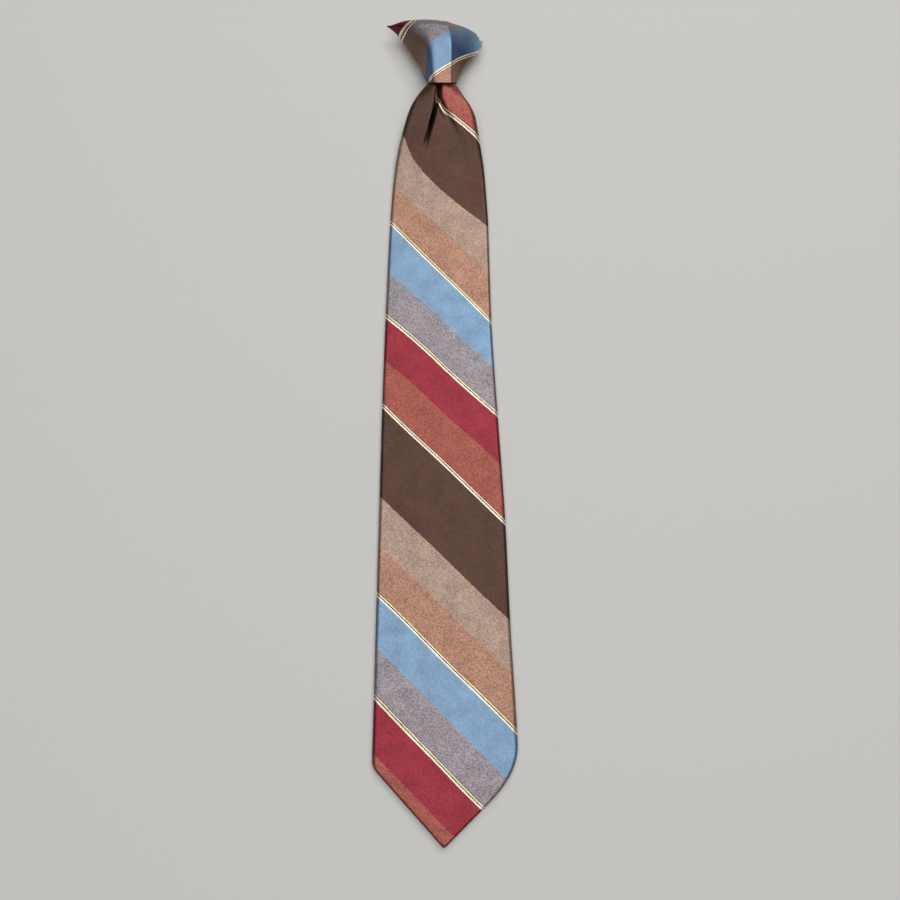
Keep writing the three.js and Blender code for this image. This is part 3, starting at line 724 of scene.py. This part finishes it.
# Clip: a merged copy of the frame's clip, whose moulded edges are rounded. The end of its arm, beyond
# the wing's cut, is shifted to its place in the photograph.
clip = {
    "edge": 0.35,  # mm, radius of its edges
    "headShift": (0.3, 2.3),  # mm by which the arm's end stands further out and up than in the frame
}
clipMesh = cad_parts["clip"].data.copy()
work = bmesh.new()
work.from_mesh(clipMesh)
bmesh.ops.remove_doubles(work, verts=work.verts[:], dist=1e-5)
bmesh.ops.dissolve_limit(work, angle_limit=math.radians(1), verts=work.verts[:], edges=work.edges[:])
upward = Vector((-math.sin(turn), math.cos(turn), 0.0))
headShift = (Vector(outward) * clip["headShift"][0] + upward * clip["headShift"][1]) / 1000
head = [vertex for vertex in work.verts if (vertex.co - Vector(cutPlace)).dot(Vector(outward)) > 0]
bmesh.ops.translate(work, vec=headShift, verts=head)
work.to_mesh(clipMesh)
work.free()
clipPiece = bpy.data.objects.new("clipPlastic", clipMesh)
bpy.context.scene.collection.objects.link(clipPiece)
clipPiece.data.materials.clear()
clipPiece.data.materials.append(mouldedPlastic("mouldedPolystyrene"))
rounding = clipPiece.modifiers.new("rounding", "BEVEL")
rounding.width = clip["edge"] / 1000
rounding.segments = 3
rounding.angle_limit = math.radians(25)
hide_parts("clip")
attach(clipPiece, "root")
print("clip moulded")


# Area of a sheet's grid in square metres, as its flat cut's: half the cross product of each quad's two
# diagonals, summed.
def gridArea(points):
    a = points[1:, 1:] - points[:-1, :-1]
    b = points[1:, :-1] - points[:-1, 1:]
    return float(np.linalg.norm(np.cross(a, b), axis=2).sum() / 2e6)


print("areas", gridArea(bladePoints), gridArea(knotPoints))

# Plain pale floor and soft studio light: a wide softbox overhead, which the level cloth mirrors, and a
# small key light from beyond the knot and to the right.
studio = {
    "floor": "#EAE8E3",
    "floorHalf": 3.0,  # metres, half of its side
    "keyPlace": (1.1, 1.5, 2.0),
    "keySize": (0.6, 0.6),
    "keyPower": 7.0,
    "topPlace": (0.05, 0.8, 2.1),
    "topSize": (2.3, 5.2),
    "topPower": 54.0,
    "sky": "#E6EAF0",
    "skyStrength": 0.06,
}
floorMesh = bpy.data.meshes.new("floor")
floorHalf = studio["floorHalf"]
corners = [(x * floorHalf, y * floorHalf, 0) for x, y in ((-1, -1), (1, -1), (1, 1), (-1, 1))]
floorMesh.from_pydata(corners, [], [(0, 1, 2, 3)])
floor = bpy.data.objects.new("floor", floorMesh)
bpy.context.scene.collection.objects.link(floor)
paper = bpy.data.materials.new("mattPaper")
paper.use_nodes = True
paper.node_tree.nodes["Principled BSDF"].inputs["Base Color"].default_value = toLinear(studio["floor"])
paper.node_tree.nodes["Principled BSDF"].inputs["Roughness"].default_value = 0.9
floorMesh.materials.append(paper)
for name in ("key", "top"):
    lamp = bpy.data.lights.new(name, "AREA")
    lamp.shape = "RECTANGLE"
    lamp.size, lamp.size_y = studio[name + "Size"]
    lamp.energy = studio[name + "Power"]
    light = bpy.data.objects.new(name, lamp)
    light.location = studio[name + "Place"]
    x, y, z = studio[name + "Place"]
    # The key light faces the tie, and the top one faces straight down.
    if name == "key":
        light.rotation_euler = (math.atan2(math.hypot(x, y), z), 0.0, math.atan2(x, -y))
    bpy.context.scene.collection.objects.link(light)
world = bpy.data.worlds.new("softbox")
world.use_nodes = True
world.node_tree.nodes["Background"].inputs["Color"].default_value = toLinear(studio["sky"])
world.node_tree.nodes["Background"].inputs["Strength"].default_value = studio["skyStrength"]
bpy.context.scene.world = world
bpy.context.scene.view_settings.view_transform = "Standard"
print("studio lit")
